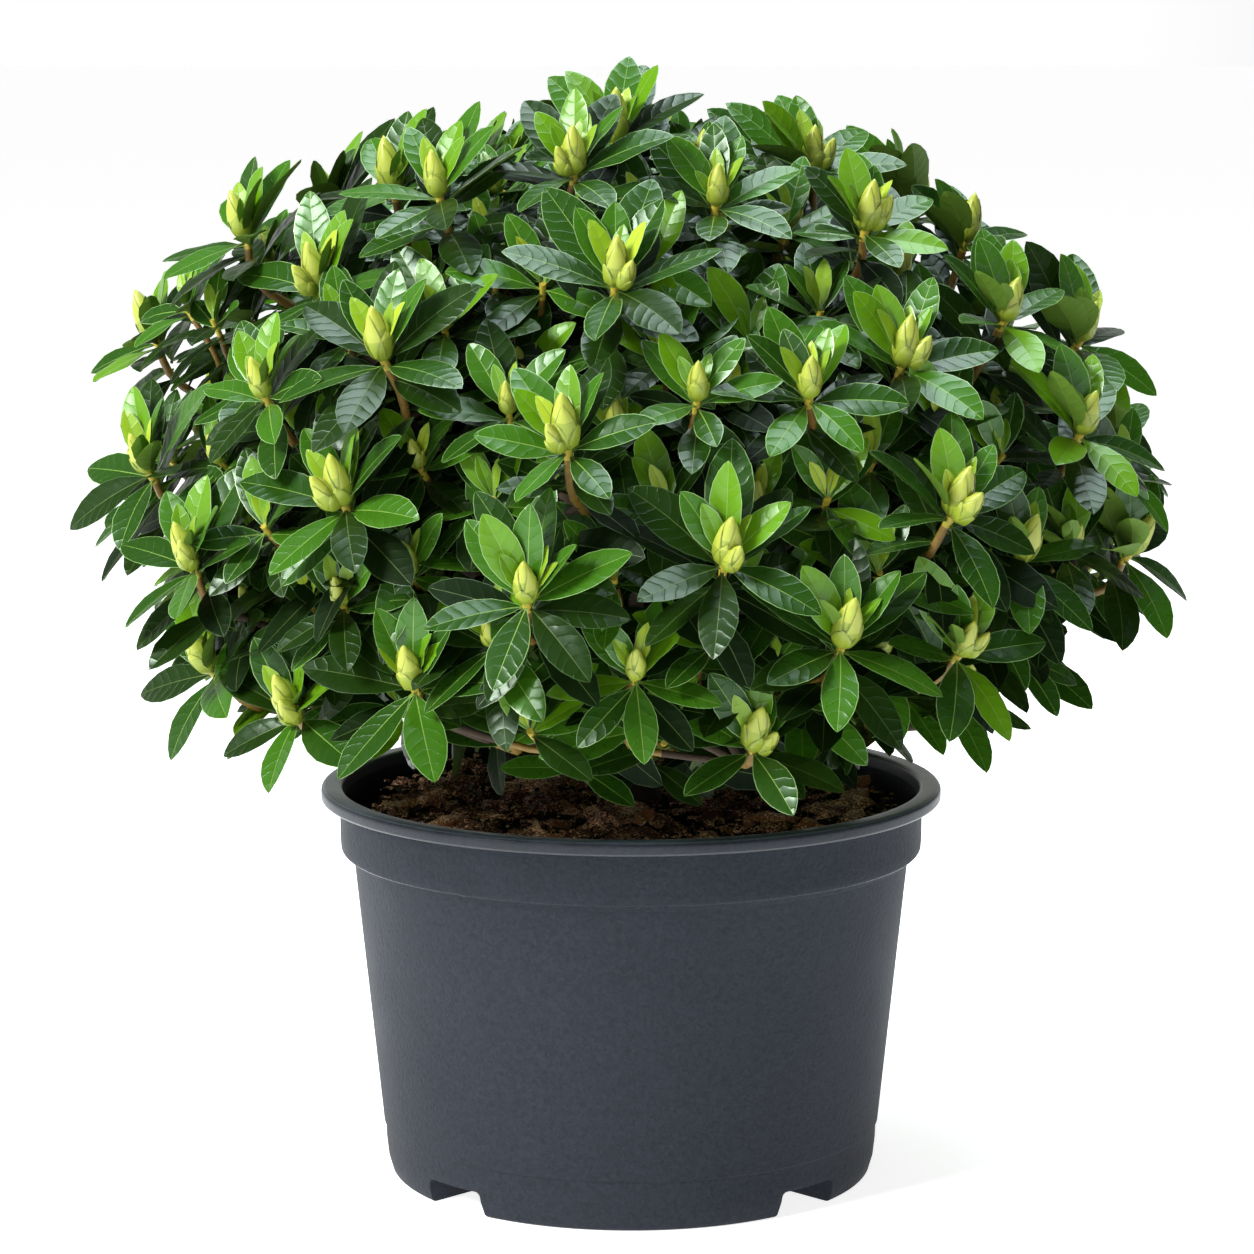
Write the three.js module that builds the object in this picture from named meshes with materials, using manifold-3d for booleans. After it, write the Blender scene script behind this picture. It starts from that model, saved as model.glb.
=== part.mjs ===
// Azalea shrub in a nursery pot: a rounded evergreen bush, its shoots ending in whorls of leaves
// round a fat pointed bud, growing from one short stem in a moulded plastic pot of bark compost.
// Units are millimetres and +Z is up. The origin is the middle of the pot's flat underside.

import * as THREE from "three";
import { mergeVertices } from "three/addons/utils/BufferGeometryUtils.js";
import Module from "manifold-3d";

const wasm = await Module();
wasm.setup();

// ---- Driving dimensions ---------------------------------------------------------------------

const CLEARANCE = 0.3; // gap between pieces that touch
const UP = new THREE.Vector3(0, 0, 1);

// The pot: a rolled rim over a collar, a tapered wall and a foot band with four notches.
const RIM_RADIUS = 150;
const POT_HEIGHT = 191;
const WALL = 2.5;
const LIP_HEIGHT = 6.5;
const COLLAR_FOOT = 159; // height of the collar's lower edge
const COLLAR_RADIUS = 141; // outside, at the top of the collar
const WALL_TOP_RADIUS = 134.7; // outside, just under the collar
const BAND_HEIGHT = 24.5; // the foot band's upper edge
const BAND_RADIUS = 120;
const FOOT_RADIUS = 114; // where the rounded lower edge meets the underside
const FLOOR_TOP = 15.5;
const POT_SIDES = 32;
const NOTCH_COUNT = 4;
const NOTCH_WIDTH = 34;
const NOTCH_HEIGHT = 12.5;
const NOTCH_DEPTH = 38; // how far a notch runs in from the foot's edge
const DRAIN_RADIUS = 6;

// The compost: level round the stem, in lumps elsewhere.
const COMPOST_LEVEL = 178;
const COMPOST_EDGE = 176; // its height at the wall
const LEVEL_RADIUS = 26; // the level patch that the stem's foot stands on
const LUMP_HEIGHT = 3.2;

// The stem: one short trunk with a root flare, cut flat at the compost.
const STEM_FOOT = COMPOST_LEVEL + CLEARANCE;
const STEM_TOP = 258;
const STEM_LEAN = 4; // sideways, at the top
const FLARE_RADIUS = 17;
const STEM_RADIUS = 12;
const STEM_TOP_RADIUS = 7.5;
const STEM_STEPS = 6;

// The crown: a ball of leaf tips about a low hub, drawn in towards the pot below.
const HUB = new THREE.Vector3(0, 0, 245);
const CROWN_REACH = 293; // hub to leaf tips over the whole dome
const SKIRT_REACH = 150; // hub to leaf tips at the lowest shoots
const SKIRT_TOP = 25; // degrees above the hub where the crown starts to draw in
const SKIRT_FOOT = -24; // degrees, the lowest leaf tips
const SKIRT_CURVE = 1.7;
const SKIRT_LEAN = 16; // how much further the lowest shoots reach on the -X side than midway
const FOLIAGE_FLOOR = 192; // no leaf hangs below this height, just over the rim

// The boughs: one to each mass of foliage, rising from the stem in three tiers.
const GATE = 90; // hub to the end of a bough, where its mass begins
const BOUGH_RADIUS = 4.6;
const BOUGH_TIP_RADIUS = 3.4;
const BOUGH_STEPS = 4;
const TIERS = [
  { name: "skirt", count: 8, elevation: -2, turn: 10, starts: [203, 216] },
  { name: "shoulder", count: 6, elevation: 32, turn: 32, starts: [222, 231] },
  { name: "top", count: 3, elevation: 66, turn: 62, starts: [242] },
];

// The shoots: spread over the crown by a seeded rule, each a whorl of leaves round a bud.
const SEED = 2047;
const SHOOT_PITCH = 58; // least distance between two shoots
const SHOOT_DARTS = 2600; // places tried for a shoot
const SHOOT_REACH = 56; // from a shoot's whorl out to the crown's surface, at its sides
const TOP_SHOOT_REACH = 34; // the same on the top, where the leaves lie level
const SHOOT_BULGE = 0.04; // share by which a shoot stands in or out of the crown's surface
const LOWEST_SHOOT = -17; // degrees from the hub
const SHOOT_RISE = 0.95; // how far a shoot turns up from straight out
const BORDER = 7; // least distance from a shoot's whorl to the next mass
const TWIG_SIDES = 4;
const TWIG_RADIUS = 2.8;
const TWIG_TIP_RADIUS = 2.3;
const TWIG_TURN = 30; // length of the upturned end of a twig

const LEAVES_PER_SHOOT = 5;
const LEAF_LENGTH = 60;
const LEAF_WIDTH = 27;
const LEAF_THICKNESS = 1.4;
const LEAF_WIDEST = 0.56; // share of the length
const LEAF_FOLD = 3; // how far the two halves rise from the midrib
const LEAF_DROOP = 5;
const LEAF_SPREADS = [80, 56]; // degrees between a leaf and its shoot, taken in turn
const LEAF_STEP = 5; // distance along the shoot between the lower and the upper leaves

const BUD_LENGTH = 30;
const BUD_RADIUS = 6.5;
const BUD_WIDEST = 0.38; // share of the length

// The core: the dense inner growth of a mass, which its shoots stand out of.
const CORE_DISTANCE = 150; // hub to its middle, where the crown has its full reach
const CORE_INSET = 62; // from the crown's surface in to the core
const CORE_LUMPS = 0.12; // share by which that differs from place to place

// ---- Shapes ---------------------------------------------------------------------------------

function seeded(seed) {
  let state = seed;
  return () => {
    state = (state * 48271) % 2147483647;
    return state / 2147483647;
  };
}

function solidFrom(geometry) {
  geometry.deleteAttribute("normal");
  geometry.deleteAttribute("uv");
  const merged = mergeVertices(geometry, 1e-3);
  return new wasm.Manifold(
    new wasm.Mesh({
      numProp: 3,
      vertProperties: new Float32Array(merged.attributes.position.array),
      triVerts: new Uint32Array(merged.index.array),
    }),
  );
}

function geometryFrom(solid) {
  const { vertProperties, triVerts } = solid.getMesh();
  return new THREE.BufferGeometry()
    .setAttribute("position", new THREE.BufferAttribute(vertProperties, 3))
    .setIndex(new THREE.BufferAttribute(triVerts, 1));
}

function largestBody(solid) {
  return solid.decompose().reduce((a, b) => (b.volume() > a.volume() ? b : a));
}

function facets(points, triangles) {
  return new THREE.BufferGeometry()
    .setFromPoints(points)
    .setIndex(triangles.flat());
}

// A solid turned about the Z axis from a profile of [radius, height] pairs.
function turned(profile, sides) {
  const points = profile.map(([radius, height]) => new THREE.Vector2(radius, height));
  return new THREE.LatheGeometry(points, sides).rotateX(Math.PI / 2);
}

// A limb along a curve, closed by a flat face at either end, with its radius at even steps.
function limb(curve, radii, sides) {
  const steps = radii.length - 1;
  const across = curve.getTangent(0).cross(new THREE.Vector3(0.3, 0.5, 0.1)).normalize();
  const points = [];
  radii.forEach((radius, i) => {
    const centre = curve.getPoint(i / steps);
    const tangent = curve.getTangent(i / steps);
    across.addScaledVector(tangent, -across.dot(tangent)).normalize();
    const other = tangent.cross(across);
    for (let j = 0; j < sides; j++) {
      const angle = (2 * Math.PI * j) / sides;
      points.push(
        along(centre, [across, radius * Math.cos(angle)], [other, radius * Math.sin(angle)]),
      );
    }
  });
  const triangles = [];
  const end = steps * sides;
  for (let i = 0; i < end; i += sides)
    for (let j = 0; j < sides; j++) {
      const [a, b] = [i + j, i + ((j + 1) % sides)];
      triangles.push([a, b, b + sides], [a, b + sides, a + sides]);
    }
  for (let j = 1; j < sides - 1; j++)
    triangles.push([0, j + 1, j], [end, end + j, end + j + 1]);
  return facets(points, triangles);
}

function along(start, ...steps) {
  return steps.reduce(
    (point, [direction, distance]) => point.addScaledVector(direction, distance),
    start.clone(),
  );
}

function evenly(steps, valueAt) {
  return Array.from({ length: steps + 1 }, (_, i) => valueAt(i / steps));
}

// The unit vector at a bearing, anticlockwise from +X, and an elevation, both in degrees.
function outward(bearing, elevation) {
  const b = THREE.MathUtils.degToRad(bearing);
  const e = THREE.MathUtils.degToRad(elevation);
  return new THREE.Vector3(
    Math.cos(b) * Math.cos(e),
    Math.sin(b) * Math.cos(e),
    Math.sin(e),
  );
}

// ---- Pot and compost ------------------------------------------------------------------------

// Radius of the pot's inside at a height between the floor and the collar.
function potInside(height) {
  const share = (height - BAND_HEIGHT) / (COLLAR_FOOT - BAND_HEIGHT);
  return THREE.MathUtils.lerp(BAND_RADIUS, WALL_TOP_RADIUS, share) - WALL;
}

function potSolid() {
  const profile = [
    [0, 0],
    [FOOT_RADIUS, 0],
    [FOOT_RADIUS + 2.8, 1.8],
    [BAND_RADIUS - 1.2, 8],
    [BAND_RADIUS, BAND_HEIGHT],
    [BAND_RADIUS + 0.8, BAND_HEIGHT + 0.8],
    [WALL_TOP_RADIUS, COLLAR_FOOT - 4.5],
    [COLLAR_RADIUS - 1.2, COLLAR_FOOT],
    [COLLAR_RADIUS, POT_HEIGHT - LIP_HEIGHT],
    [RIM_RADIUS - 2, POT_HEIGHT - LIP_HEIGHT],
    [RIM_RADIUS, POT_HEIGHT - LIP_HEIGHT + 2],
    [RIM_RADIUS - 0.2, POT_HEIGHT - 2.2],
    [RIM_RADIUS - 2.4, POT_HEIGHT],
    [RIM_RADIUS - 7, POT_HEIGHT],
    [COLLAR_RADIUS - WALL, POT_HEIGHT - 2.5],
    [COLLAR_RADIUS - 1.2 - WALL, COLLAR_FOOT],
    [potInside(COLLAR_FOOT - 6), COLLAR_FOOT - 6],
    [potInside(FLOOR_TOP), FLOOR_TOP],
    [0, FLOOR_TOP],
  ];
  let pot = solidFrom(turned(profile, POT_SIDES));
  for (let i = 0; i < NOTCH_COUNT; i++) {
    const bearing = (i + 0.5) * (360 / NOTCH_COUNT);
    const reach = outward(bearing, 0);
    const turn = THREE.MathUtils.degToRad(bearing);
    const notch = new THREE.BoxGeometry(2 * NOTCH_DEPTH, NOTCH_WIDTH, 2 * NOTCH_HEIGHT)
      .rotateZ(turn)
      .translate(reach.x * BAND_RADIUS, reach.y * BAND_RADIUS, 0);
    const drainAt = BAND_RADIUS - NOTCH_DEPTH + 2.5 * DRAIN_RADIUS;
    const drain = new THREE.CylinderGeometry(DRAIN_RADIUS, DRAIN_RADIUS, 4 * WALL, 8)
      .rotateX(Math.PI / 2)
      .translate(reach.x * drainAt, reach.y * drainAt, FLOOR_TOP);
    pot = pot.subtract(solidFrom(notch)).subtract(solidFrom(drain));
  }
  return pot;
}

function compostSolid() {
  const edge = potInside(COMPOST_EDGE) - CLEARANCE - 1;
  const profile = [
    [0, FLOOR_TOP + CLEARANCE],
    [potInside(FLOOR_TOP) - CLEARANCE - 0.2, FLOOR_TOP + CLEARANCE],
    [potInside(COLLAR_FOOT - 6) - CLEARANCE - 0.2, COLLAR_FOOT - 6],
    [edge, COMPOST_EDGE],
    [edge - 20, COMPOST_LEVEL],
    [edge - 50, COMPOST_LEVEL],
    [edge - 80, COMPOST_LEVEL],
    [LEVEL_RADIUS, COMPOST_LEVEL],
    [0, COMPOST_LEVEL],
  ];
  const geometry = turned(profile, POT_SIDES);
  const place = geometry.attributes.position;
  for (let i = 0; i < place.count; i++) {
    const [x, y, z] = [place.getX(i), place.getY(i), place.getZ(i)];
    const radius = Math.hypot(x, y);
    const loose = z > COMPOST_EDGE + 1 && radius > LEVEL_RADIUS + 1;
    const lump = Math.sin(x / 7 + 1.3) * Math.cos(y / 6) + 0.6 * Math.sin((x - y) / 4.3);
    if (loose) place.setZ(i, z + (LUMP_HEIGHT * lump) / 1.6);
  }
  return solidFrom(geometry);
}

// ---- Stem and boughs ------------------------------------------------------------------------

const STEM_CURVE = new THREE.QuadraticBezierCurve3(
  new THREE.Vector3(0, 0, STEM_FOOT),
  new THREE.Vector3(0, 0, STEM_FOOT + (STEM_TOP - STEM_FOOT) * 0.4),
  new THREE.Vector3(STEM_LEAN, -STEM_LEAN / 2, STEM_TOP),
);

function stemSolid(extra) {
  const radiusAt = (share) => {
    const flare = (FLARE_RADIUS - STEM_RADIUS) * Math.exp(-share * 9);
    return THREE.MathUtils.lerp(STEM_RADIUS, STEM_TOP_RADIUS, share) + flare + extra;
  };
  return solidFrom(limb(STEM_CURVE, evenly(STEM_STEPS, radiusAt), 10));
}

// A bough leaves the stem rising and reaches its mass along the mass's own direction.
function boughSolid(mass, stem) {
  const tip = along(HUB, [mass.direction, GATE]);
  const height = (mass.start - STEM_FOOT) / (STEM_TOP - STEM_FOOT);
  const curve = new THREE.QuadraticBezierCurve3(
    STEM_CURVE.getPoint(height),
    along(tip, [mass.direction, -GATE / 2]),
    tip,
  );
  const radiusAt = (share) => THREE.MathUtils.lerp(BOUGH_RADIUS, BOUGH_TIP_RADIUS, share);
  const whole = solidFrom(limb(curve, evenly(BOUGH_STEPS, radiusAt), 5));
  return largestBody(whole.subtract(stem));
}

// ---- Crown ----------------------------------------------------------------------------------

// Distance from the hub to the crown's leaf tips, in a direction from the hub.
function crownReach(direction) {
  const elevation = THREE.MathUtils.radToDeg(Math.asin(direction.z));
  const drop = (SKIRT_TOP - elevation) / (SKIRT_TOP - SKIRT_FOOT);
  const low = THREE.MathUtils.clamp(drop, 0, 1) ** SKIRT_CURVE;
  return THREE.MathUtils.lerp(CROWN_REACH, SKIRT_REACH, low) - SKIRT_LEAN * low * direction.x;
}

// The masses of foliage, tier by tier, with the plane faces of the space that each one keeps to.
function crownMasses() {
  const masses = TIERS.flatMap(({ name, count, elevation, turn, starts }) =>
    Array.from({ length: count }, (_, i) => ({
      name: `${name}_${i + 1}`,
      direction: outward(turn + (i * 360) / count, elevation),
      start: starts[i % starts.length],
      shoots: [],
    })),
  );
  for (const mass of masses) {
    const beside = masses
      .filter((other) => other !== mass)
      .map((other) => mass.direction.clone().sub(other.direction).normalize())
      .map((normal) => ({ normal, offset: normal.dot(HUB) + CLEARANCE }));
    const inner = { normal: mass.direction, offset: mass.direction.dot(HUB) + GATE + 2 };
    mass.space = [...beside, inner, { normal: UP, offset: FOLIAGE_FLOOR }];
  }
  return masses;
}

function roomInside(space, point) {
  return Math.min(...space.map(({ normal, offset }) => normal.dot(point) - offset));
}

// The places of the shoots: darts thrown over the crown, kept where no shoot stands too near.
function growShoots(masses) {
  const random = seeded(SEED);
  const lowest = Math.sin(THREE.MathUtils.degToRad(LOWEST_SHOOT));
  const shoots = [];
  for (let i = 0; i < SHOOT_DARTS; i++) {
    const elevation = THREE.MathUtils.radToDeg(Math.asin(lowest + (1 - lowest) * random()));
    const direction = outward(360 * random(), elevation);
    const bulge = 1 + SHOOT_BULGE * (2 * random() - 1);
    const inwards = THREE.MathUtils.lerp(SHOOT_REACH, TOP_SHOOT_REACH, direction.z ** 2);
    const reach = (crownReach(direction) - inwards) * bulge;
    const base = along(HUB, [direction, reach]);
    const mass = masses.reduce((best, other) =>
      other.direction.dot(direction) > best.direction.dot(direction) ? other : best,
    );
    const free = shoots.every((shoot) => shoot.base.distanceTo(base) >= SHOOT_PITCH);
    if (free && roomInside(mass.space, base) >= BORDER) {
      const shoot = { base, direction, random: seeded(SEED + 7919 * (shoots.length + 1)) };
      shoots.push(shoot);
      mass.shoots.push(shoot);
    }
  }
}

// A leaf as a thin folded blade: its stalk end, its two edges, its tip and the midrib's two faces.
function leafPoints(root, direction, across, length) {
  const face = direction.clone().cross(across).normalize();
  const half = (LEAF_WIDTH / LEAF_LENGTH) * length * 0.5;
  const widest = length * LEAF_WIDEST;
  return [
    root.clone(),
    along(root, [direction, widest], [across, -half], [face, LEAF_FOLD]),
    along(root, [direction, length], [face, -LEAF_DROOP]),
    along(root, [direction, widest], [across, half], [face, LEAF_FOLD]),
    along(root, [direction, length / 2], [face, LEAF_THICKNESS / 2]),
    along(root, [direction, length / 2], [face, -LEAF_THICKNESS / 2]),
  ];
}

const LEAF_FACETS = [0, 1, 2, 3].flatMap((i) => {
  const next = (i + 1) % 4;
  return [
    [i, next, 4],
    [next, i, 5],
  ];
});

// The leaves of one shoot. A leaf that would leave the mass's space closes up towards the bud,
// then shortens, and is left off if neither is enough.
function shootLeaves(shoot, axis, side, space) {
  const leaves = [];
  const other = axis.clone().cross(side);
  const turn = 360 * shoot.random();
  for (let i = 0; i < LEAVES_PER_SHOOT; i++) {
    const upper = i % LEAF_SPREADS.length;
    const angle = THREE.MathUtils.degToRad(turn + (360 * i) / LEAVES_PER_SHOOT);
    const spread = LEAF_SPREADS[upper] + 8 * (2 * shoot.random() - 1);
    const length = LEAF_LENGTH * (0.9 + 0.2 * shoot.random());
    const out = along(new THREE.Vector3(), [side, Math.cos(angle)], [other, Math.sin(angle)]);
    const root = along(shoot.base, [axis, LEAF_STEP * (upper - 0.8)], [out, 0.9]);
    for (const [closing, share] of [[1, 1], [0.8, 1], [0.6, 1], [0.6, 0.8], [0.4, 0.8]]) {
      const tilt = THREE.MathUtils.degToRad(spread * closing);
      const direction = along(
        new THREE.Vector3(),
        [axis, Math.cos(tilt)],
        [out, Math.sin(tilt)],
      );
      const points = leafPoints(root, direction, axis.clone().cross(out), length * share);
      if (points.every((point) => roomInside(space, point) > CLEARANCE)) {
        leaves.push(solidFrom(facets(points, LEAF_FACETS)));
        break;
      }
    }
  }
  return leaves;
}

// A shoot's twig runs out from the fork in the core, turns up at its end and swells into the bud.
function shootParts(shoot, fork, space) {
  const jitter = [shoot.random(), shoot.random(), shoot.random()].map((v) => 0.36 * (v - 0.5));
  const axis = along(shoot.direction, [UP, SHOOT_RISE])
    .add(new THREE.Vector3(...jitter))
    .normalize();
  const side = axis.clone().cross(shoot.direction.clone().cross(UP)).normalize();
  const turn = along(shoot.base, [axis, -TWIG_TURN], [shoot.direction, -4]);
  const centres = [fork, turn, shoot.base];
  const radii = [TWIG_RADIUS, TWIG_TIP_RADIUS, TWIG_TIP_RADIUS];
  const bud = [BUD_WIDEST, 1].map((share) => along(shoot.base, [axis, BUD_LENGTH * share]));
  if (bud.every((point) => roomInside(space, point) > BUD_RADIUS + CLEARANCE)) {
    centres.push(...bud);
    radii.push(BUD_RADIUS, 0.6);
  }
  const twig = solidFrom(limb(new THREE.CatmullRomCurve3(centres), radii, TWIG_SIDES));
  return [twig, ...shootLeaves(shoot, axis, side, space)];
}

// Distance from a core's middle along a ray to the edge of its mass's space or of the inner crown.
function coreReach(space, centre, ray, inset) {
  let [inside, outside] = [0, CROWN_REACH];
  for (let i = 0; i < 20; i++) {
    const middle = (inside + outside) / 2;
    const point = along(centre, [ray, middle]);
    const outwards = point.clone().sub(HUB).normalize();
    const within = point.distanceTo(HUB) < crownReach(outwards) - inset;
    if (within && roomInside(space, point) > 1) inside = middle;
    else outside = middle;
  }
  return inside;
}

// The core fills its mass's space out to a lumpy surface inside the whorls of leaves.
function coreSolid(space, centre, random) {
  const ball = new THREE.IcosahedronGeometry(1, 1);
  ball.deleteAttribute("normal");
  ball.deleteAttribute("uv");
  const core = mergeVertices(ball, 1e-3);
  const place = core.attributes.position;
  const ray = new THREE.Vector3();
  for (let i = 0; i < place.count; i++) {
    ray.fromBufferAttribute(place, i).normalize();
    const inset = CORE_INSET * (1 + CORE_LUMPS * (2 * random() - 1));
    const point = along(centre, [ray, coreReach(space, centre, ray, inset)]);
    place.setXYZ(i, point.x, point.y, point.z);
  }
  return solidFrom(core);
}

// One mass: its stem, the core round it, and its shoots, joined into one solid.
function massSolid(mass, number) {
  const scale = crownReach(mass.direction) / CROWN_REACH;
  const centre = along(HUB, [mass.direction, CORE_DISTANCE * scale]);
  const gate = along(HUB, [mass.direction, GATE + CLEARANCE]);
  const stem = limb(new THREE.LineCurve3(gate, centre), [BOUGH_TIP_RADIUS, TWIG_RADIUS], 6);
  const core = coreSolid(mass.space, centre, seeded(SEED + 31 * (number + 1)));
  const shoots = mass.shoots.flatMap((shoot) => shootParts(shoot, centre, mass.space));
  const joined = shoots.reduce((sum, part) => sum.add(part), core.add(solidFrom(stem)));
  return largestBody(joined);
}

// ---- Assembly -------------------------------------------------------------------------------

const MATERIALS = {
  plastic: new THREE.MeshStandardMaterial({ color: 0x4a4d55, roughness: 0.55, metalness: 0 }),
  compost: new THREE.MeshStandardMaterial({ color: 0x3a2418, roughness: 0.95, metalness: 0 }),
  bark: new THREE.MeshStandardMaterial({ color: 0x7a5230, roughness: 0.85, metalness: 0 }),
  foliage: new THREE.MeshStandardMaterial({ color: 0x2f6a25, roughness: 0.45, metalness: 0 }),
};

const shrub = new THREE.Group();
shrub.name = "azalea_shrub";

function addPiece(name, solid, material) {
  const piece = new THREE.Mesh(geometryFrom(solid), material);
  piece.name = name;
  shrub.add(piece);
}

addPiece("pot", potSolid(), MATERIALS.plastic);
addPiece("compost", compostSolid(), MATERIALS.compost);
addPiece("stem", stemSolid(0), MATERIALS.bark);

const stemRoom = stemSolid(CLEARANCE);
const masses = crownMasses();
growShoots(masses);
masses.forEach((mass, number) => {
  addPiece(`bough_${mass.name}`, boughSolid(mass, stemRoom), MATERIALS.bark);
  addPiece(`foliage_${mass.name}`, massSolid(mass, number), MATERIALS.foliage);
});

export default shrub;
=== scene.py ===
# An azalea in bud, in a moulded nursery pot of bark compost. The sizes in this script are in
# millimetres and its angles in degrees, and MM turns lengths to Blender's metres.

import math

import bpy
import numpy as np
from mathutils import Matrix, Vector, noise


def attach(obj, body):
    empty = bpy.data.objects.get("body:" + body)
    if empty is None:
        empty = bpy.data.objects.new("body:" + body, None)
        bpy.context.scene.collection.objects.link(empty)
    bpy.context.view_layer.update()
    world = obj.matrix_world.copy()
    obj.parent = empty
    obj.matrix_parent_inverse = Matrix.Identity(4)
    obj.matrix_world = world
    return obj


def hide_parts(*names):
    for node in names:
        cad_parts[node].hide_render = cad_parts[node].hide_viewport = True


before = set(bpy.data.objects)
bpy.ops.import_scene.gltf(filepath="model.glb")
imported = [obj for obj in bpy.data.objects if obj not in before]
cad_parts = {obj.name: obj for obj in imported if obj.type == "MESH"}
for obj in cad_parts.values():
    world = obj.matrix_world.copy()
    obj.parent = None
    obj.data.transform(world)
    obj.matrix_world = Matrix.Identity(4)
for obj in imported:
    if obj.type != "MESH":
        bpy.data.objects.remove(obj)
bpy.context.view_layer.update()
MM = 0.001


# ---- Camera, floor and studio light ----------------------------------------------------------
# The plant stands on a white studio floor that runs out of sight behind it. The camera looks
# slightly down on it through a long lens, under a large soft light from the left and a cooler one
# from above.

CAMERA_BACK = 1978.4
CAMERA_HEIGHT = 569.7
CAMERA_ASIDE = -1.94
CAMERA_PITCH = 8.717  # degrees below the horizon
LENS = 119.1

camera_data = bpy.data.cameras.new("camera")
camera_data.sensor_width = 36
camera_data.lens = LENS
camera = bpy.data.objects.new("camera", camera_data)
camera.location = Vector((CAMERA_ASIDE, -CAMERA_BACK, CAMERA_HEIGHT)) * MM
camera.rotation_euler = (math.radians(90 - CAMERA_PITCH), 0, 0)
bpy.context.collection.objects.link(camera)
bpy.context.scene.camera = camera
bpy.context.scene.view_settings.view_transform = "Standard"


def linear(colour):
    """An sRGB hex colour, such as "#4a4d55", as the linear colour that a shader takes."""
    channels = [int(colour[i : i + 2], 16) / 255 for i in (1, 3, 5)]
    return tuple(c / 12.92 if c <= 0.04045 else ((c + 0.055) / 1.055) ** 2.4 for c in channels) + (1,)


def new_material(name):
    """An empty node material with its shader, and that shader."""
    material = bpy.data.materials.new(name)
    material.use_nodes = True
    return material, material.node_tree.nodes["Principled BSDF"]


def add_node(owner, kind, inputs=None, **settings):
    """Add a node with its settings. An input is given a value, or an output socket to link."""
    tree = owner.node_tree
    node = tree.nodes.new(kind)
    for name, value in settings.items():
        setattr(node, name, value)
    for name, value in (inputs or {}).items():
        if isinstance(value, bpy.types.NodeSocket):
            tree.links.new(value, node.inputs[name])
        else:
            node.inputs[name].default_value = value
    return node


bpy.ops.object.select_all(action="DESELECT")
bpy.ops.mesh.primitive_plane_add(size=60)
floor = bpy.context.object
floor.name = "studio_floor"
floor_paint, floor_shader = new_material("matt_white_studio_paint")
floor_shader.inputs["Base Color"].default_value = linear("#f2f2f2")
floor_shader.inputs["Roughness"].default_value = 0.9
floor_shader.inputs["Specular IOR Level"].default_value = 0.1
floor_shader.inputs["Emission Color"].default_value = (1, 1, 1, 1)
floor_shader.inputs["Emission Strength"].default_value = 0.84
floor.data.materials.append(floor_paint)


def add_softbox(name, place, aim, width, watts, colour):
    """A square studio light of a width in metres, aimed at a point of the plant."""
    light = bpy.data.lights.new(name, "AREA")
    light.size = width
    light.energy = watts
    light.color = colour
    softbox = bpy.data.objects.new(name, light)
    softbox.location = place
    softbox.rotation_euler = (Vector(aim) - Vector(place)).to_track_quat("-Z", "Y").to_euler()
    bpy.context.collection.objects.link(softbox)


add_softbox("key_softbox", (-2.02, -1.55, 2.0), (0, 0, 0.3), 1, 154, (1, 0.99, 0.95))
add_softbox("top_softbox", (0.1, 0.3, 2.4), (0, 0, 0.4), 1.5, 62, (0.85, 0.95, 1))

# The studio's walls are white, but for a dark curtain on the right, and its ceiling is dim.
world = bpy.data.worlds.new("white_studio")
world.use_nodes = True
lookout = add_node(world, "ShaderNodeTexCoord").outputs["Generated"]
parts = add_node(world, "ShaderNodeSeparateXYZ", {"Vector": lookout})
ceiling = add_node(
    world,
    "ShaderNodeMapRange",
    {"Value": parts.outputs["Z"], "From Min": 0.12, "From Max": 0.5, "To Min": 1.0, "To Max": 0.1},
)
curtain = add_node(
    world,
    "ShaderNodeMapRange",
    {"Value": parts.outputs["X"], "From Min": 0.12, "From Max": 0.6, "To Min": 1.0, "To Max": 0.15},
)
brightness = add_node(
    world,
    "ShaderNodeMath",
    {0: ceiling.outputs["Result"], 1: curtain.outputs["Result"]},
    operation="MULTIPLY",
)
background = world.node_tree.nodes["Background"]
world.node_tree.links.new(brightness.outputs["Value"], background.inputs["Strength"])
background.inputs["Color"].default_value = (1, 1, 1, 1)
bpy.context.scene.world = world


# ---- The pot ---------------------------------------------------------------------------------
# A round nursery pot, injection-moulded in slate-grey polypropylene in one piece: a rolled rim
# over a collar, a tapered wall, and a foot band with four notches that a drainage hole opens in.

RIM_RADIUS = 150
POT_HEIGHT = 191
WALL = 2.5
LIP_HEIGHT = 6.5
COLLAR_FOOT = 159
COLLAR_RADIUS = 141
WALL_TOP_RADIUS = 134.7
BAND_HEIGHT = 24.5
BAND_RADIUS = 120
FOOT_RADIUS = 114
FLOOR_TOP = 15.5
POT_SIDES = 192
NOTCH_WIDTH = 34
NOTCH_HEIGHT = 12.5
NOTCH_DEPTH = 38
NOTCH_DRAFT = 1.1  # how much wider a notch is at the ground than at its roof
DRAIN_RADIUS = 6


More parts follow.
